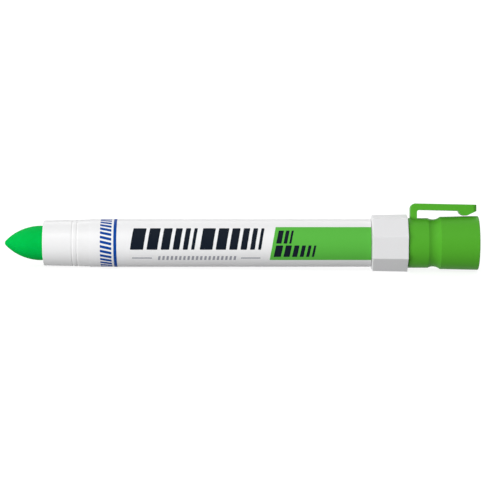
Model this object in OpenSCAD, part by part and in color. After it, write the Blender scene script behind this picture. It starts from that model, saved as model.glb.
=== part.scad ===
// Twist-up solid paint marker, lying along X on a flat of its octagonal knob.
// The tip points to -X. The origin is on the axis, at the middle of the straight grip.

/* [Paint stick] */
// Diameter of the paint stick
stick_d = 12.7; // [11:0.1:14]
// Length of the stick that stands out of the barrel
stick_out = 14.4; // [8:0.2:18]
// Length of the bullet nose
nose_len = 13.4; // [8:0.2:14]
// Radius of the nose at its very tip
nose_tip_r = 1.32; // [0.6:0.02:3]
// Solid length ahead of the spindle hole
stick_solid = 10; // [6:0.5:12]

/* [Barrel] */
// Length from the front face to the knob
barrel_len = 119.9; // [100:0.1:140]
// Thickness of the barrel's wall
barrel_wall = 1.4; // [1.1:0.1:2.5]
// Length of the tapered front
taper_len = 17; // [14:0.5:20]
// Drop of the taper on each side
taper_drop = 0.4; // [0.2:0.05:0.6]
// Length of the plain guide bore behind the front face
guide_len = 13; // [10:0.5:16]
// Radial gap between the paint stick and its guide
guide_gap = 0.15; // [0.1:0.05:0.4]
// Width of the ribs that keep the carrier from turning
rib_w = 1.2; // [0.8:0.1:1.8]
// Number of guide ribs
rib_count = 4; // [2:1:6]
// Depth of the two rings that the closed cap snaps over
snap_depth = 0.12; // [0.05:0.01:0.2]

/* [Label] */
// Thickness of the label film
label_t = 0.1; // [0.08:0.01:0.2]
// Thickness of the printed fields
ink_t = 0.05; // [0.04:0.01:0.1]
// Length of the coloured panel along its lower edge
panel_len = 37; // [25:0.2:45]
// Height of the panel across the barrel
panel_h = 12; // [8:0.1:14]
// Shift of the panel's upper corner, which slants its front edge
panel_slant = 2.2; // [0:0.1:5]
// Distance of the label's end from the rear of the barrel
label_end = 0.1; // [0.05:0.05:1]
// Distance of the stripe behind the front face
stripe_at = 26.5; // [22:0.1:30]
// Width of the stripe
stripe_w = 1.1; // [0.6:0.1:2]

/* [Feed mechanism] */
// Wall of the cup that holds the paint stick
cup_wall = 0.8; // [0.6:0.05:1.2]
// Depth of the cup
cup_depth = 5; // [4:0.5:7]
// Length of the nut behind the cup
nut_len = 6; // [5.6:0.2:8]
// Running gap of sliding and turning fits
run_gap = 0.1; // [0.06:0.01:0.1]
// Pitch of the feed thread
pitch = 4; // [3.6:0.1:4.4]
// Radius of the spindle's core
core_r = 2.2; // [1.9:0.05:2.4]
// Height of the thread
thread_h = 1; // [0.7:0.05:1.1]
// Gap between the spindle's thread and the nut
thread_gap = 0.15; // [0.12:0.01:0.2]
// Travel that draws the tip into the barrel, past the front face
draw_in = 1; // [0.5:0.1:2]
// Length of the bush at the rear of the barrel
bush_len = 8; // [6:0.5:10]
// Step of the seat that the bush is pressed into
bush_step = 0.35; // [0.2:0.05:0.5]

/* [Twist knob] */
// Length of the octagonal knob
knob_len = 13.2; // [12:0.1:18]
// Distance from the axis to the flats at the rear
knob_flat_r = 9.95; // [9.6:0.05:10.6]
// Draft of the flats
knob_draft = 1.1; // [0:0.1:2]
// Length of the bevels at the front
knob_bevel = 0.5; // [0.3:0.1:2]
// Depth of the narrow land that blunts each corner between two flats
corner_land = 0.06; // [0.04:0.01:0.2]
// Radius of the journal that turns in the bush
journal_r = 5; // [4.4:0.1:5.6]
// Width across the flats of the square drive
drive_w = 2.8; // [2.4:0.1:3]
// Length of the square drive in the knob
drive_len = 6; // [4:0.5:7]

/* [Cap] */
// Gap between the knob and the parked cap
park_gap = 0.15; // [0.05:0.05:0.5]
// Radius of the spigot that parks the cap in the knob
spigot_r = 6.6; // [6:0.1:7]
// Length of the spigot
spigot_len = 7.6; // [5:0.2:8]
// Outer radius of the closed end
cap_small_r = 9.14; // [8.8:0.02:9.4]
// Length of the closed end, up to the middle of the neck
cap_small_len = 9.3; // [8:0.1:11]
// Depth of the neck below the closed end
neck_depth = 0.48; // [0.2:0.02:0.7]
// Radius of the round groove that forms the neck
neck_round_r = 4; // [3:0.1:5]
// Distance from the middle of the neck to the start of the flare
neck_flare = 2.7; // [2.2:0.1:4]
// Length of the flared mouth, from the middle of the neck
cap_mouth_len = 16.65; // [15:0.05:20]
// Wall at the mouth
cap_wall = 1.1; // [0.9:0.05:1.3]
// Flare of the mouth on each side
cap_flare = 0.28; // [0.1:0.02:0.4]
// Radial gap between the mouth and the barrel that it closes over
cap_gap = 0.15; // [0.1:0.01:0.3]
// Thickness of the closed end's wall
cap_floor = 1.5; // [1:0.1:2]

/* [Clip] */
// Width of the clip
clip_w = 5.6; // [4:0.1:7]
// Thickness of the clip's arm
clip_t = 2.4; // [1.6:0.1:2.8]
// Distance of the riser from the closed end
clip_back = 1; // [0.5:0.1:3]
// Thickness of the riser
riser_t = 2.4; // [1.8:0.1:3]
// Height of the arm's outer side above the axis, at the riser
clip_top = 14.5; // [14:0.05:16]
// Drop of the arm towards its free end
clip_drop = 0.5; // [0:0.1:0.8]
// Distance of the clip's free end from the mouth
clip_short = 0.65; // [0:0.05:3]
// Distance of the hook's round nose from the clip's free end
hook_at = 4.5; // [3:0.1:6]
// Radius of the hook's nose
hook_r = 2.2; // [1.8:0.1:2.6]
// Gap between the clip's hook and the cap
hook_gap = 0.15; // [0.05:0.05:0.5]
// Angle that the clip and the print lean back from straight up
face_turn = 11; // [0:1:22]

/* [Hidden] */
$fn = 96;
lap = 0.3;
stick_r = stick_d / 2;
guide_r = stick_r + guide_gap;
carrier_r = stick_r + cup_wall;
bore_r = carrier_r + run_gap;
body_r = bore_r + barrel_wall;
front_r = body_r - taper_drop;
label_r = body_r + label_t;
ink_r = label_r + ink_t;
bush_r = bore_r + bush_step;
front_x = -(barrel_len + taper_len) / 2;
taper_x = front_x + taper_len;
rear_x = front_x + barrel_len;
shoulder_x = front_x + guide_len;
bush_x = rear_x - bush_len;
edge_r = 0.3;

crest_r = core_r + thread_h;
lip_h = 0.6;
lip_len = 1;
slot_w = 1;
end_gap = 0.2;
lip_x = bush_x - end_gap - lip_len;
carrier_len = cup_depth + nut_len;
draw_len = stick_out + draw_in;
carrier_rear_x = lip_x - end_gap - draw_len;
carrier_x = carrier_rear_x - carrier_len;
stick_rear_x = carrier_x + cup_depth;
tip_x = front_x - stick_out;
hole_r = crest_r + 0.4;
hole_x = tip_x + stick_solid;
spindle_x = hole_x + draw_len + end_gap;

knob_gap = 0.15;
knob_x = rear_x + knob_gap;
knob_rear_x = knob_x + knob_len;
corner_r = knob_flat_r / cos(22.5) - corner_land;
knob_front_r = label_r + 0.1;
socket_r = spigot_r + run_gap / 2;
socket_len = spigot_len + 2 * end_gap;

cap_x = knob_rear_x + park_gap;
neck_x = cap_x + cap_small_len;
mouth_x = neck_x + cap_mouth_len;
mouth_in_r = body_r + cap_gap;
mouth_out_r = mouth_in_r + cap_wall;
flare_x = neck_x + neck_flare;
cap_bore_r = cap_small_r - neck_depth - cap_wall;
seat_x = flare_x + 0.4;
snap_at = guide_len - 2.2;
snap_gap = 1.8;
snap_round_r = 0.6;
bead_x = seat_x + snap_at;
bead_r = taper_r(front_x + snap_at) - snap_depth / 2;

clip_x = cap_x + clip_back;
clip_end_x = mouth_x - clip_short;
clip_low = clip_top - clip_t;
hook_x = clip_end_x - hook_at;

// Turns a profile drawn with x along the axis and y outwards.
module turned() {
    rotate([0, 90, 0]) rotate_extrude() mirror([1, -1, 0]) children();
}

// A round bar or bore along the axis, from one place to another.
module bar(x0, x1, r) {
    translate([x0, 0, 0]) rotate([0, 90, 0]) cylinder(h = x1 - x0, r = r);
}

// What a rounded corner takes off a profile: sx and sy say which way the corner points.
module corner(at, r, sx, sy) {
    translate(at) mirror([sx < 0 ? 1 : 0, 0, 0]) mirror([0, sy < 0 ? 1 : 0, 0])
        translate([-r, -r]) difference() {
            square(r + 0.05);
            circle(r);
        }
}

// The side of the barrel that carries the print, drawn with y across the axis.
module print_side() {
    rotate([90 - face_turn, 0, 0]) linear_extrude(2 * body_r) children();
}

// Outer radius of the bare taper at a place on the axis.
function taper_r(x) = body_r - taper_drop * max(0, taper_x - x) / taper_len;

module barrel() {
    color("white") {
        turned() difference() {
            polygon([[front_x, guide_r], [front_x, front_r], [taper_x, body_r], [rear_x, body_r],
                [rear_x, bush_r], [bush_x, bush_r], [bush_x, bore_r], [shoulder_x, bore_r],
                [shoulder_x, guide_r]]);
            corner([front_x, front_r], edge_r, -1, 1);
            corner([front_x, guide_r], edge_r, -1, -1);
            for (x = [front_x + snap_at, front_x + snap_at + snap_gap])
                translate([x, taper_r(x) + snap_round_r - snap_depth]) circle(snap_round_r);
        }
        for (i = [0:rib_count - 1]) rotate([360 / rib_count * i, 0, 0])
            translate([shoulder_x - lap, -rib_w / 2, guide_r])
                cube([bush_x - shoulder_x + lap, rib_w, bore_r - guide_r + lap]);
    }
}

module barrel_label() {
    color("whitesmoke") difference() {
        bar(taper_x, rear_x - label_end, label_r);
        bar(taper_x - 1, rear_x, body_r);
    }
}

module ink_ring(x0, x1) {
    difference() {
        bar(x0, x1, ink_r);
        bar(x0 - 1, x1 + 1, label_r);
    }
}

module label_panel() {
    x1 = rear_x - label_end;
    x0 = x1 - panel_len;
    color([0.36, 0.73, 0.28]) intersection() {
        ink_ring(x0 - 1, x1);
        print_side() translate([0, -0.25]) polygon([[x0, -panel_h / 2], [x1 + 1, -panel_h / 2],
            [x1 + 1, panel_h / 2], [x0 + panel_slant, panel_h / 2]]);
    }
}

module label_stripe() {
    color([0.05, 0.25, 0.62])
        ink_ring(front_x + stripe_at - stripe_w / 2, front_x + stripe_at + stripe_w / 2);
}

module rear_bush() {
    color("gainsboro") turned() difference() {
        translate([bush_x, journal_r + run_gap / 2])
            square([bush_len, bush_r - journal_r - run_gap / 2]);
        corner([bush_x, bush_r], edge_r, -1, 1);
        corner([rear_x, journal_r + run_gap / 2], edge_r, 1, -1);
    }
}

// One plane cut off the knob's blank, from a place on the axis. It is tipped to rise to the rear.
module knob_cut(x, r, tilt) {
    translate([x, 0, r]) rotate([0, -tilt, 0]) translate([-2 * knob_len, -2 * knob_flat_r, 0])
        cube([4 * knob_len, 4 * knob_flat_r, knob_flat_r]);
}

// Eight drafted flats, the narrow lands between them and a bevel before each are cut off a bar.
module knob_body() {
    bevel_top_r = knob_flat_r - (knob_len - knob_bevel) * tan(knob_draft);
    bevel_tilt = atan((bevel_top_r - knob_front_r) / knob_bevel);
    difference() {
        bar(knob_x, knob_rear_x, corner_r + 1);
        for (i = [0:7]) {
            rotate([45 * i, 0, 0]) knob_cut(knob_rear_x, knob_flat_r, knob_draft);
            rotate([45 * i + 22.5, 0, 0]) knob_cut(knob_rear_x, corner_r, knob_draft);
            rotate([45 * i, 0, 0]) knob_cut(knob_x, knob_front_r, bevel_tilt);
        }
    }
}

module twist_knob() {
    color("white") difference() {
        union() {
            knob_body();
            bar(lip_x, knob_x + 1, journal_r);
            turned() difference() {
                translate([lip_x, 0]) square([lip_len, journal_r + lip_h]);
                corner([lip_x, journal_r + lip_h], 0.5, -1, 1);
            }
        }
        bar(knob_rear_x - socket_len, knob_rear_x + 1, socket_r);
        drive_hole();
        journal_slots();
    }
}

// Square hole that the spindle's drive is pushed into.
module drive_hole() {
    translate([lip_x - 1, -drive_w / 2, -drive_w / 2]) cube([drive_len + 1, drive_w, drive_w]);
    bar(lip_x - 1, lip_x + 1.5, core_r);
}

// Two crossed slots let the journal's lip spring in as it passes the bush.
module journal_slots() {
    for (a = [45:90:315]) rotate([a, 0, 0])
        translate([lip_x - 1, -slot_w / 2, drive_w]) cube([bush_len, slot_w, journal_r]);
}

// Thread profile: distances along the axis from the middle of the ridge, at the core and crest.
ridge_foot = 0.275 * pitch;
ridge_top = 0.175 * pitch;
segs = 16;

function on_ring(r, i, z) = [r * cos(360 * i / segs), r * sin(360 * i / segs), z];
function quad(a, b, c, d) = [[a, b, c], [a, c, d]];

// A threaded rod from z = 0, in one closed surface: the ridge's four edge lines wind up the core.
module threaded_rod(len) {
    n = floor((len - 2 * ridge_foot - 0.4) / pitch * segs);
    low = (len - n * pitch / segs) / 2;
    ridge = [for (i = [0:n]) let (z = low + i * pitch / segs) each [
        on_ring(core_r, i, z - ridge_foot), on_ring(crest_r, i, z - ridge_top),
        on_ring(crest_r, i, z + ridge_top), on_ring(core_r, i, z + ridge_foot)]];
    bottom = 4 * (n + 1);
    top = bottom + segs;
    rings = [for (z = [0, len], i = [0:segs - 1]) on_ring(core_r, z == 0 ? i : n - segs + i, z)];
    turn = 4 * segs;
    ridge_faces = [for (i = [0:n - 1], k = [0:2]) let (a = 4 * i + k)
        each quad(a, a + 1, a + 5, a + 4)];
    root_faces = [for (i = [0:n - segs - 1]) let (a = 4 * i)
        each quad(a + 3, a + turn, a + turn + 4, a + 7)];
    bottom_faces = [for (i = [0:segs - 2]) each quad(bottom + i, 4 * i, 4 * i + 4, bottom + i + 1)];
    top_faces = [for (i = [1:segs - 1]) let (a = 4 * (n - segs + i) + 3)
        each quad(a, top + i, top + (i + 1) % segs, a + 4)];
    last = 4 * n;
    seam = 4 * (n - segs) + 3;
    ends = [
        [3, 2, 1, 0],
        [last, last + 1, last + 2, last + 3],
        [bottom + segs - 1, turn - 4, turn, 3, 0, bottom],
        [seam + 4, seam, last, last + 3, top, top + 1],
        [for (i = [0:segs - 1]) bottom + i],
        [for (i = [0:segs - 1]) top + segs - 1 - i]];
    polyhedron(concat(ridge, rings),
        concat(ridge_faces, root_faces, bottom_faces, top_faces, ends));
}

// Where the ridge's middle stands at angle 0, so that the nut can be set half a pitch away.
function ridge_start(len) =
    (len - floor((len - 2 * ridge_foot - 0.4) / pitch * segs) * pitch / segs) / 2;

module feed_spindle() {
    thread_end = carrier_rear_x + draw_len;
    color("gainsboro") {
        translate([spindle_x, 0, 0]) rotate([0, 90, 0]) threaded_rod(thread_end - spindle_x);
        bar(thread_end - 1, lip_x + 1.4, core_r - 0.1);
        translate([lip_x, -drive_w / 2, -drive_w / 2]) cube([drive_len - 0.2, drive_w, drive_w]);
    }
}

// The nut's ridge: most of one turn, standing in from the nut's wall between the spindle's turns.
module nut_ridge() {
    tip_r = core_r + thread_gap;
    foot_r = crest_r + thread_gap + lap;
    foot = pitch / 2 - ridge_top - thread_gap;
    tip = pitch / 2 - ridge_foot - thread_gap;
    n = round(0.75 * segs);
    points = [for (i = [-n / 2:n / 2]) let (z = i * pitch / segs) each [
        on_ring(foot_r, i, z - foot), on_ring(tip_r, i, z - tip),
        on_ring(tip_r, i, z + tip), on_ring(foot_r, i, z + foot)]];
    sides = [for (i = [0:n - 1], k = [0:3]) let (a = 4 * i + k, b = 4 * i + (k + 1) % 4)
        each quad(a, a + 4, b + 4, b)];
    polyhedron(points, concat(sides, [[0, 1, 2, 3], [4 * n + 3, 4 * n + 2, 4 * n + 1, 4 * n]]));
}

module stick_carrier() {
    nut_x = carrier_x + cup_depth;
    nut_mid = nut_x + nut_len / 2;
    first = spindle_x + ridge_start(carrier_rear_x + draw_len - spindle_x) + pitch / 2;
    turn = 360 * (nut_mid - first) / pitch;
    color("silver") difference() {
        union() {
            difference() {
                bar(carrier_x, carrier_rear_x, carrier_r);
                bar(carrier_x - 1, nut_x, stick_r + 0.05);
                bar(nut_x - 1, carrier_rear_x + 1, crest_r + thread_gap);
            }
            translate([nut_mid, 0, 0]) rotate([turn, 0, 0]) rotate([0, 90, 0]) nut_ridge();
        }
        for (i = [0:rib_count - 1]) rotate([360 / rib_count * i, 0, 0])
            translate([carrier_x - 1, -rib_w / 2 - run_gap, stick_r - 0.5])
                cube([carrier_len + 2, rib_w + 2 * run_gap, 2 * cup_wall + 1]);
    }
}

// The nose is an arc from the stick's side, and a small ball at the tip that meets it smoothly.
module paint_stick() {
    side_r = (pow(nose_len, 2) - 2 * nose_len * nose_tip_r + pow(stick_r, 2))
        / (2 * (stick_r - nose_tip_r));
    meet = nose_tip_r - nose_tip_r * (nose_len - nose_tip_r) / (side_r - nose_tip_r);
    color([0, 0.75, 0.3]) turned() difference() {
        intersection() {
            translate([tip_x, 0]) square([stick_rear_x - tip_x, stick_r]);
            union() {
                translate([tip_x + nose_tip_r, 0]) circle(nose_tip_r);
                intersection() {
                    translate([tip_x + nose_len, stick_r - side_r]) circle(side_r);
                    translate([tip_x + meet, 0]) square([nose_len, stick_r]);
                }
                translate([tip_x + nose_len, 0]) square([stick_rear_x - tip_x, stick_r]);
            }
        }
        translate([hole_x, -1]) square([stick_rear_x - hole_x + 1, hole_r + 1]);
    }
}

module cap_shell() {
    neck_r = cap_small_r - neck_depth;
    flare_r = mouth_out_r - cap_flare;
    turned() difference() {
        union() {
            polygon([[cap_x - spigot_len, spigot_r - 1.2], [cap_x - spigot_len, spigot_r],
                [cap_x, spigot_r], [cap_x, cap_small_r], [neck_x, cap_small_r],
                [neck_x, flare_r], [flare_x, flare_r], [mouth_x, mouth_out_r],
                [mouth_x, mouth_in_r], [seat_x, mouth_in_r - cap_flare],
                [seat_x - 1.6, cap_bore_r], [cap_x + cap_floor, cap_bore_r],
                [cap_x + cap_floor, 0], [cap_x, 0], [cap_x, spigot_r - 1.2]]);
            translate([bead_x, bead_r + snap_round_r]) circle(snap_round_r);
        }
        translate([neck_x, neck_r + neck_round_r]) circle(neck_round_r);
        corner([cap_x, cap_small_r], 0.4, -1, 1);
        corner([cap_x - spigot_len, spigot_r], 0.4, -1, 1);
        corner([mouth_x, mouth_out_r], 0.35, 1, 1);
        corner([mouth_x, mouth_in_r], 0.35, 1, -1);
    }
}

// The clip's outline from the side. Its hook is a round nose with a slope up to the free end.
module clip_side() {
    top_end = clip_top - clip_drop;
    low_end = clip_low - clip_drop;
    hook_low = mouth_out_r + hook_gap;
    difference() {
        union() {
            polygon([[clip_x, cap_small_r - 0.6], [clip_x, clip_top], [clip_end_x, top_end],
                [clip_end_x, low_end], [clip_x + riser_t, clip_low],
                [clip_x + riser_t, cap_small_r - 0.6]]);
            intersection() {
                translate([hook_x, hook_low + hook_r]) circle(hook_r);
                translate([hook_x - hook_r, hook_low]) square([2 * hook_r, hook_r]);
            }
            polygon([[hook_x, low_end + 0.2], [hook_x, hook_low], [hook_x + 1, hook_low],
                [clip_end_x, low_end + 0.1]]);
            translate([clip_x + riser_t, clip_low]) difference() {
                translate([-0.1, -0.9]) square([1, 1]);
                translate([0.9, -0.9]) circle(0.9);
            }
        }
        corner([clip_x, clip_top], 2, -1, 1);
        corner([clip_end_x, top_end], 0.4, 1, 1);
    }
}

// Seen from outside, the clip has a rounded free end. Seen along it, its outer edges are rounded.
module clip() {
    end_r = 1.6;
    round_r = 0.5;
    rotate([-face_turn, 0, 0]) intersection() {
        translate([0, clip_w / 2, 0]) rotate([90, 0, 0]) linear_extrude(clip_w) clip_side();
        linear_extrude(2 * clip_top) difference() {
            translate([clip_x - 1, -clip_w / 2]) square([clip_end_x - clip_x + 1, clip_w]);
            corner([clip_end_x, clip_w / 2], end_r, 1, 1);
            corner([clip_end_x, -clip_w / 2], end_r, 1, -1);
        }
        translate([clip_x - 1, 0, 0]) rotate([90, 0, 90])
            linear_extrude(clip_end_x - clip_x + 2) difference() {
                translate([-clip_w / 2, 0]) square([clip_w, clip_top]);
                corner([clip_w / 2, clip_top], round_r, 1, 1);
                corner([-clip_w / 2, clip_top], round_r, -1, 1);
            }
    }
}

module cap() {
    color([0.32, 0.66, 0.17]) {
        cap_shell();
        clip();
    }
}

barrel();
barrel_label();
label_panel();
label_stripe();
rear_bush();
twist_knob();
feed_spindle();
stick_carrier();
paint_stick();
cap();
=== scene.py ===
# Dresses a solid paint marker: studio, finishes and the print wrapped round its label.
import math

import bmesh
import bpy
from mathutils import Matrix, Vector


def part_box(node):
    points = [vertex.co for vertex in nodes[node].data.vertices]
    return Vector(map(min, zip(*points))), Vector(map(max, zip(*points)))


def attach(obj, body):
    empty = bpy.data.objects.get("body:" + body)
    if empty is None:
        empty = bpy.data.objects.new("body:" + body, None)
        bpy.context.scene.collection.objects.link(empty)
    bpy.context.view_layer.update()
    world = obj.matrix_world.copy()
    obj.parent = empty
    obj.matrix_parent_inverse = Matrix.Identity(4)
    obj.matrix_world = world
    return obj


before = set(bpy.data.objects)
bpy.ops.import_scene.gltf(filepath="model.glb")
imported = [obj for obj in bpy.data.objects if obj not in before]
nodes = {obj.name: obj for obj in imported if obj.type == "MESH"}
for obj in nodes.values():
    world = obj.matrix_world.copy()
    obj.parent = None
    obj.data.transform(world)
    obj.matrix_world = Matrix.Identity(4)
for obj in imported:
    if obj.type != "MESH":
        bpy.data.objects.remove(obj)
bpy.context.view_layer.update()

mm = 0.001
nodeSpacing = 220  # between shader nodes in the editor


class Wire:  # an output socket that can stand in a sum
    def __init__(self, tree, socket):
        self.tree = tree
        self.socket = socket

    def maths(self, operation, first, second):
        return self.tree.add("Math", {"operation": operation}, {0: first, 1: second})

    def __add__(self, other):
        return self.maths("ADD", self, other)

    def __sub__(self, other):
        return self.maths("SUBTRACT", self, other)

    def __rsub__(self, other):
        return self.maths("SUBTRACT", other, self)

    def __mul__(self, other):
        return self.maths("MULTIPLY", self, other)

    __radd__ = __add__
    __rmul__ = __mul__


class ShaderTree:  # the nodes of one material or world
    def __init__(self, owner):
        owner.use_nodes = True
        self.owner = owner
        self.nodes = owner.node_tree.nodes
        self.links = owner.node_tree.links
        self.nodes.clear()

    def add(self, kind, settings=None, sockets=None, output=0):
        node = self.nodes.new("ShaderNode" + kind)
        node.location.x = nodeSpacing * len(self.nodes)
        for name, value in (settings or {}).items():
            setattr(node, name, value)
        for name, value in (sockets or {}).items():
            if isinstance(value, Wire):
                self.links.new(value.socket, node.inputs[name])
            elif node.inputs[name].type == "RGBA":
                node.inputs[name].default_value = (*value[:3], 1.0)
            else:
                node.inputs[name].default_value = value
        return Wire(self, node.outputs[output]) if node.outputs else None

    def noise(self, place, grain, detail):  # patches about as wide as the grain
        return self.add("TexNoise", {}, {"Vector": place, "Scale": 1 / grain, "Detail": detail})

    def blendColors(self, factor, first, second):  # 6 and 7 are the colour sockets of a Mix node
        return self.add("Mix", {"data_type": "RGBA"}, {"Factor": factor, 6: first, 7: second}, output=2)

    def stretched(self, place, scale):
        return self.add("VectorMath", {"operation": "MULTIPLY"}, {0: place, 1: scale})

    def bump(self, height, depth, under=None):
        sockets = {"Height": height, "Distance": depth, "Strength": 1.0}
        if under:
            sockets["Normal"] = under
        return self.add("Bump", {}, sockets)

    def place(self):
        return self.add("TexCoord", output="Object")


def newMaterial(name):
    return ShaderTree(bpy.data.materials.new(name))


def surface(tree, varying, constants):
    shader = tree.add("BsdfPrincipled", {}, {**constants, **varying})
    tree.add("OutputMaterial", {}, {"Surface": shader})
    return tree.owner


def grey(level):
    return (level, level, level)


# Camera at the photograph's angle: level with the marker, from a little above

cameraSettings = {
    "elevation": 11.0,  # degrees above the marker's axis
    "distance": 801 * mm,
    "lens": 157.0,  # both in millimetres, as Blender takes them
    "sensor": 36.0,
    "aimAlong": 7.2 * mm,  # what the middle of the picture shows
    "aimBelow": 2.6 * mm,
}


def addCamera(settings):
    tilt = math.radians(settings["elevation"])
    back = Vector((0, -math.cos(tilt), math.sin(tilt)))
    up = Vector((0, math.sin(tilt), math.cos(tilt)))
    aim = Vector((settings["aimAlong"], 0, 0)) - up * settings["aimBelow"]
    camera = bpy.data.objects.new("camera", bpy.data.cameras.new("camera"))
    camera.data.sensor_width = settings["sensor"]
    camera.data.lens = settings["lens"]
    camera.location = aim + back * settings["distance"]
    camera.rotation_mode = "QUATERNION"
    camera.rotation_quaternion = (-back).to_track_quat("-Z", "Y")
    bpy.context.collection.objects.link(camera)
    bpy.context.scene.camera = camera


# Floor, sky and lamps: soft light all round, most of it from the front, and a white ground that
# keeps a faint shadow

floorSettings = {
    "size": 8.0,
    "bounce": 0.20,  # how much light it gives back to the marker
    "paper": 0.30,  # its colour as the camera sees it, which holds the shadow
    "lift": 0.86,  # added for the camera, so that it is white beyond the shadow
}
skySettings = {"strength": 0.40}
lampSettings = {  # in metres and watts; glints says whether glossy surfaces show the lamp
    "frontSoftbox": {"place": (-0.78, -1.10, 0.10), "size": (1.2, 0.18), "power": 15.0, "glints": False},
    "upperSoftbox": {"place": (-0.45, -0.75, 1.00), "size": (1.2, 0.6), "power": 4.2, "glints": True},
    "rearSoftbox": {"place": (-0.10, 0.90, 1.00), "size": (1.2, 0.6), "power": 4.2, "glints": True},
    "backSoftbox": {"place": (0.50, 1.20, 0.20), "size": (1.2, 0.3), "power": 9.0, "glints": False},
}


def seenDirectly(tree):  # 1 where a ray shows the ground or sky itself, 0 where it lights the marker
    total = sum(tree.add("LightPath", output=name)
                for name in ("Is Camera Ray", "Is Glossy Ray", "Is Transmission Ray"))
    return tree.add("Clamp", {}, {"Value": total})


# The marker lies on the knob's rear edge and on what the floor meets first in front of it.
def addFloor(settings):
    rear = min((v.co for v in nodes["twist_knob"].data.vertices), key=lambda point: point.z)
    ahead = [v.co for name in ("barrel", "barrel_label", "label_stripe")
             for v in nodes[name].data.vertices]
    slope = max((point.z - rear.z) / (point.x - rear.x) for point in ahead)
    noseDown = math.degrees(math.atan(-slope))
    print("the marker lies", round(noseDown, 2), "degrees nose down on the floor")
    half = settings["size"] / 2
    corners = [(x, y, rear.z + slope * (x - rear.x)) for x, y in
               ((-half, -half), (half, -half), (half, half), (-half, half))]
    mesh = bpy.data.meshes.new("floor")
    mesh.from_pydata(corners, [], [(0, 1, 2, 3)])
    floor = bpy.data.objects.new("floor", mesh)
    bpy.context.collection.objects.link(floor)
    tree = newMaterial("floorPaper")
    seen = seenDirectly(tree)
    mesh.materials.append(surface(
        tree,
        {"Base Color": tree.blendColors(seen, grey(settings["bounce"]), grey(settings["paper"])),
         "Emission Color": tree.blendColors(seen, grey(0.0), grey(settings["lift"]))},
        {"Roughness": 1.0, "Specular IOR Level": 0.0, "Emission Strength": 1.0}))


def addSky(settings):
    tree = ShaderTree(bpy.data.worlds.new("sky"))
    seen = seenDirectly(tree)
    strength = seen + (1 - seen) * settings["strength"]
    light = tree.add("Background", {}, {"Color": grey(1.0), "Strength": strength})
    tree.add("OutputWorld", {}, {"Surface": light})
    bpy.context.scene.world = tree.owner


def addLamps(settings):
    for name, lamp in settings.items():
        data = bpy.data.lights.new(name, "AREA")
        data.shape = "RECTANGLE"
        data.size, data.size_y = lamp["size"]
        data.energy = lamp["power"]
        lampObject = bpy.data.objects.new(name, data)
        lampObject.location = lamp["place"]
        lampObject.rotation_euler = (-Vector(lamp["place"])).to_track_quat("-Z", "Y").to_euler()
        lampObject.visible_camera = False
        lampObject.visible_glossy = lamp["glints"]
        bpy.context.collection.objects.link(lampObject)


# Finishes

plasticSettings = {  # peel is the grain of the skin
    "barrelPlastic": {"color": (0.825, 0.825, 0.825), "shade": (0.795, 0.795, 0.805), "roughness": 0.25,
                      "specular": 0.5, "peel": 0.9 * mm, "peelDepth": 0.004 * mm},
    "knobPlastic": {"color": (0.77, 0.77, 0.78), "shade": (0.74, 0.74, 0.75), "roughness": 0.29,
                    "specular": 0.5, "peel": 0.7 * mm, "peelDepth": 0.005 * mm},
    "labelFilm": {"color": (0.84, 0.84, 0.845), "shade": (0.82, 0.82, 0.83), "roughness": 0.33,
                  "specular": 0.5, "peel": 1.6 * mm, "peelDepth": 0.006 * mm},
    "capPlastic": {"color": (0.086, 0.400, 0.026), "shade": (0.078, 0.378, 0.023), "roughness": 0.39,
                   "specular": 0.12, "peel": 0.35 * mm, "peelDepth": 0.005 * mm},
    "naturalPlastic": {"color": (0.73, 0.74, 0.73), "shade": (0.68, 0.69, 0.68), "roughness": 0.40,
                       "specular": 0.5, "peel": 0.8 * mm, "peelDepth": 0.004 * mm},
}
mouldingSettings = {
    "drift": 22 * mm,  # width of the patches in which the colour drifts
    "skinDulls": 0.07,  # how much roughness the skin adds
    "driftDulls": 0.03,
    "ior": 1.49,
}


# Moulded plastic: colour that drifts a little, a fine skin, and gloss that follows it.
def mouldedPlastic(name, settings):
    tree = newMaterial(name)
    place = tree.place()
    drift = tree.noise(place, mouldingSettings["drift"], detail=3.0)
    skin = tree.noise(place, settings["peel"], detail=2.0)
    dulled = mouldingSettings["skinDulls"] * skin + mouldingSettings["driftDulls"] * drift
    return surface(
        tree,
        {"Base Color": tree.blendColors(drift, settings["shade"], settings["color"]),
         "Roughness": settings["roughness"] + dulled,
         "Normal": tree.bump(skin, settings["peelDepth"])},
        {"IOR": mouldingSettings["ior"], "Specular IOR Level": settings["specular"]})


inkSettings = {
    "panelInk": {"color": (0.096, 0.450, 0.053), "thin": (0.104, 0.470, 0.060), "roughness": 0.42},
    "blueInk": {"color": (0.002, 0.050, 0.290), "thin": (0.006, 0.066, 0.330), "roughness": 0.45},
    "navyInk": {"color": (0.003, 0.006, 0.012), "thin": (0.005, 0.009, 0.018), "roughness": 0.50},
    "greyInk": {"color": (0.300, 0.310, 0.350), "thin": (0.350, 0.360, 0.400), "roughness": 0.40},
}
inkCoatSettings = {
    "mottle": 0.5 * mm,
    "mottleShare": 0.6,  # of the ink's thinning, the rest of which the lines give
    "mottleDulls": 0.08,
    "mottleDepth": 0.002 * mm,
    "line": 0.35 * mm,
    "lineSqueeze": 0.06,  # their width over their length
    "ior": 1.49,
    "specular": 0.10,
}


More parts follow.
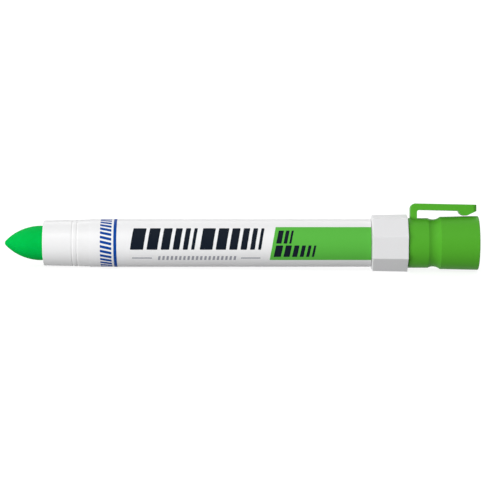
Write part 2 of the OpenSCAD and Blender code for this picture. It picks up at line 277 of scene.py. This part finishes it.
# Printed ink: a flat coat that thins in small mottles and along faint lines round the barrel.
def printedInk(name, settings):
    coat = inkCoatSettings
    tree = newMaterial(name)
    place = tree.place()
    mottle = tree.noise(place, coat["mottle"], detail=3.0)
    squeezed = tree.stretched(place, (1.0, coat["lineSqueeze"], coat["lineSqueeze"]))
    lines = tree.noise(squeezed, coat["line"], detail=1.0)
    thinning = coat["mottleShare"] * mottle + (1 - coat["mottleShare"]) * lines
    return surface(
        tree,
        {"Base Color": tree.blendColors(thinning, settings["color"], settings["thin"]),
         "Roughness": settings["roughness"] + coat["mottleDulls"] * mottle,
         "Normal": tree.bump(mottle, coat["mottleDepth"])},
        {"IOR": coat["ior"], "Specular IOR Level": coat["specular"]})


paintSettings = {
    "color": (0.0003, 0.490, 0.082),
    "shade": (0.0003, 0.420, 0.047),
    "roughness": 0.60,
    "streak": 0.45 * mm,  # width of the drag marks along the stick
    "streakSqueeze": 0.05,  # their width over their length
    "streakShare": 0.35,  # of the change in colour, the rest of which the mottles give
    "streakDepth": 0.02 * mm,
    "mottle": 1.6 * mm,
    "mottleDulls": 0.12,
    "mottleDepth": 0.03 * mm,
    "ior": 1.45,
    "specular": 0.04,
    "scatter": 0.12,  # share of the light that goes into the paint and comes out again
    "scatterRadius": (0.2, 1.0, 0.35),
    "scatterScale": 0.9 * mm,
}


# Solid paint: a waxy stick with drag marks along it and soft mottles.
def solidPaint(settings):
    tree = newMaterial("solidPaint")
    place = tree.place()
    squeezed = tree.stretched(place, (settings["streakSqueeze"], 1.0, 1.0))
    streaks = tree.noise(squeezed, settings["streak"], detail=2.0)
    mottle = tree.noise(place, settings["mottle"], detail=3.0)
    tone = settings["streakShare"] * streaks + (1 - settings["streakShare"]) * mottle
    relief = tree.bump(mottle, settings["mottleDepth"])
    return surface(
        tree,
        {"Base Color": tree.blendColors(tone, settings["shade"], settings["color"]),
         "Roughness": settings["roughness"] + settings["mottleDulls"] * mottle,
         "Normal": tree.bump(streaks, settings["streakDepth"], relief)},
        {"IOR": settings["ior"], "Specular IOR Level": settings["specular"],
         "Subsurface Weight": settings["scatter"], "Subsurface Radius": settings["scatterRadius"],
         "Subsurface Scale": settings["scatterScale"]})


# Print on the label. Outlines are flat, with x along the barrel and y round it from the print's
# middle line, and are then wrapped round the barrel as thin solid coats.

labelSettings = {
    "facing": math.radians(cameraSettings["elevation"]),  # the print's middle line looks this far up
    "strip": math.radians(4.0),  # an outline bends this much at a time
    "coat": 0.03 * mm,
    "bite": 0.01 * mm,  # how deep a coat reaches into what it lies on
    "cornerSteps": 4,
    "sameSpot": 0.0001 * mm,  # a cut this near a point goes through the point
}
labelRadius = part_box("barrel_label")[1].y
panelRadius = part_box("label_stripe")[1].y  # the printed fields all stand as high as the stripe
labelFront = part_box("barrel_label")[0].x
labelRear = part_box("barrel_label")[1].x
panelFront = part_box("label_panel")[0].x
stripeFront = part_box("label_stripe")[0].x


def roundCorners(points, radius):
    corners = [Vector(point) for point in points]
    steps = labelSettings["cornerSteps"]
    outline = []
    for index, corner in enumerate(corners):
        back = (corners[index - 1] - corner).normalized()
        ahead = (corners[(index + 1) % len(corners)] - corner).normalized()
        half = back.angle(ahead) / 2
        centre = corner + (back + ahead).normalized() * radius / math.sin(half)
        start = (corner + back * radius / math.tan(half) - centre).normalized()
        end = (corner + ahead * radius / math.tan(half) - centre).normalized()
        outline += [centre + radius * start.slerp(end, step / steps) for step in range(steps + 1)]
    return outline


def roundFrom(height, radius):  # length round the barrel to a height seen from the front
    return radius * math.asin(height / radius)


# Cuts one flat outline into strips that can bend, and makes a flat coat of it.
def raiseOutline(flat, outline, strip, coat):
    face = flat.faces.new([flat.verts.new((*point, -labelSettings["bite"])) for point in outline])
    geometry = [*face.verts, *face.edges, face]
    low = min(point[1] for point in outline)
    high = max(point[1] for point in outline)
    for line in range(math.ceil(low / strip), math.ceil(high / strip)):
        geometry = bmesh.ops.bisect_plane(flat, geom=geometry, dist=labelSettings["sameSpot"],
                                          plane_co=(0, line * strip, 0), plane_no=(0, 1, 0))["geom"]
    faces = [item for item in geometry if isinstance(item, bmesh.types.BMFace)]
    for item in bmesh.ops.extrude_face_region(flat, geom=faces)["geom"]:
        if isinstance(item, bmesh.types.BMVert):
            item.co.z = coat


def wrapOutlines(name, outlines, radius, coat, finish, turn=0.0):
    flat = bmesh.new()
    for outline in outlines:
        raiseOutline(flat, outline, radius * labelSettings["strip"], coat)
    bmesh.ops.recalc_face_normals(flat, faces=flat.faces)
    for vertex in flat.verts:
        along, around, height = vertex.co
        angle = labelSettings["facing"] + turn + around / radius
        reach = radius + height
        vertex.co = (along, -reach * math.cos(angle), reach * math.sin(angle))
    mesh = bpy.data.meshes.new(name)
    flat.to_mesh(mesh)
    flat.free()
    mesh.materials.append(finish)
    piece = bpy.data.objects.new(name, mesh)
    bpy.context.collection.objects.link(piece)
    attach(piece, "holder")


# A run of slanted bars, which share their height and lean
def slantedBars(run, front, radius):
    low = roundFrom(run["low"], radius)
    high = roundFrom(run["high"], radius)
    shift = run["lean"] * (high - low)
    outlines = []
    left = front + run["start"]
    for width in run["widths"]:
        right = left + width
        corners = [(left, low), (right, low), (right + shift, high), (left + shift, high)]
        outlines.append(roundCorners(corners, run["rounding"]))
        left = right + run["gap"]
    return outlines


def lengths(*values):
    return [value * mm for value in values]


# Each run starts so far behind the front of the label or of the panel. Heights are as seen from
# the front, up from the print's middle line.
nameRow = {"low": -2.5 * mm, "high": 5.3 * mm, "lean": 0.16, "rounding": 0.25 * mm}
nameRuns = [
    {**nameRow, "start": 14.95 * mm, "widths": lengths(4.8, 3.9, 3.1, 2.4, 1.8, 1.2), "gap": 1.25 * mm},
    {**nameRow, "start": 40.35 * mm, "widths": lengths(4.6, 3.7, 2.9, 2.3, 1.7, 1.1), "gap": 1.2 * mm},
]
longRule = {"low": -5.7 * mm, "high": -5.33 * mm, "lean": 0.0, "rounding": 0.1 * mm, "gap": 0.0}
ruleRuns = [
    {**longRule, "start": 15.65 * mm, "widths": lengths(7.3)},
    {"start": 25.05 * mm, "widths": lengths(0.8) * 19, "gap": 0.73 * mm,
     "low": -6.2 * mm, "high": -4.8 * mm, "lean": 0.16, "rounding": 0.12 * mm},
    {**longRule, "start": 55.35 * mm, "widths": lengths(7.1)},
]
panelRow = {"lean": 0.2, "rounding": 0.15 * mm}
panelRuns = [
    {**panelRow, "start": 2.35 * mm, "widths": lengths(1.9, 1.3, 0.8), "gap": 0.75 * mm,
     "low": -0.27 * mm, "high": 4.45 * mm},
    {**panelRow, "start": 1.45 * mm, "widths": lengths(2.6, 2.2, 1.8, 1.4, 1.1, 0.8), "gap": 0.95 * mm,
     "low": -5.1 * mm, "high": -0.95 * mm},
]
dashSettings = {
    "start": -4.9 * mm,  # from the front of the stripe
    "end": -0.75 * mm,
    "count": 15,
    "pitch": 1.72 * mm,
    "thickness": 1.0 * mm,
    "fall": 0.95 * mm,  # how much lower a dash ends than it starts
    "rounding": 0.15 * mm,
}


# The column of dashes beside the stripe
def dashColumn(settings):
    outlines = []
    half = settings["thickness"] / 2
    left = stripeFront + settings["start"]
    right = stripeFront + settings["end"]
    for index in range(settings["count"]):
        middle = (index - (settings["count"] - 1) / 2) * settings["pitch"]
        first = middle + settings["fall"] / 2
        last = middle - settings["fall"] / 2
        corners = [(left, first - half), (right, last - half), (right, last + half), (left, first + half)]
        outlines.append(roundCorners(corners, settings["rounding"]))
    return outlines


seamSettings = {
    "width": 4.5 * mm,  # overlap of the film behind the barrel
    "coat": 0.03 * mm,
    "edge": 0.3 * mm,  # how far it stays inside the label's ends
}


def filmSeam(settings):
    half = settings["width"] / 2
    left = labelFront + settings["edge"]
    right = labelRear - settings["edge"]
    return [(left, -half), (right, -half), (right, half), (left, half)]


def addRuns(name, runs, front, radius, ink):
    outlines = sum((slantedBars(run, front, radius) for run in runs), [])
    wrapOutlines(name, outlines, radius, labelSettings["coat"], ink)


def addPrint(inks, film):
    addRuns("nameBars", nameRuns, labelFront, labelRadius, inks["navyInk"])
    addRuns("ruleLines", ruleRuns, labelFront, labelRadius, inks["greyInk"])
    addRuns("panelBars", panelRuns, panelFront, panelRadius, inks["navyInk"])
    wrapOutlines("stripeDashes", dashColumn(dashSettings), labelRadius, labelSettings["coat"],
                 inks["blueInk"])
    wrapOutlines("filmOverlap", [filmSeam(seamSettings)], labelRadius, seamSettings["coat"], film,
                 turn=math.pi)


nodeFinishes = {
    "barrel": "barrelPlastic",
    "barrel_label": "labelFilm",
    "label_panel": "panelInk",
    "label_stripe": "blueInk",
    "rear_bush": "naturalPlastic",
    "twist_knob": "knobPlastic",
    "feed_spindle": "naturalPlastic",
    "stick_carrier": "naturalPlastic",
    "paint_stick": "solidPaint",
    "cap": "capPlastic",
}


def dressNodes(finishes):
    for name, finishName in nodeFinishes.items():
        for slot in nodes[name].material_slots:
            slot.material = finishes[finishName]


addCamera(cameraSettings)
addFloor(floorSettings)
addSky(skySettings)
addLamps(lampSettings)
print("studio is set up")

finishes = {name: mouldedPlastic(name, settings) for name, settings in plasticSettings.items()}
inks = {name: printedInk(name, settings) for name, settings in inkSettings.items()}
finishes.update(inks)
finishes["solidPaint"] = solidPaint(paintSettings)
dressNodes(finishes)
print("finishes are on the frame")

addPrint(inks, finishes["labelFilm"])
print("print is on the label")

bpy.context.scene.view_settings.view_transform = "Standard"
bpy.context.view_layer.update()
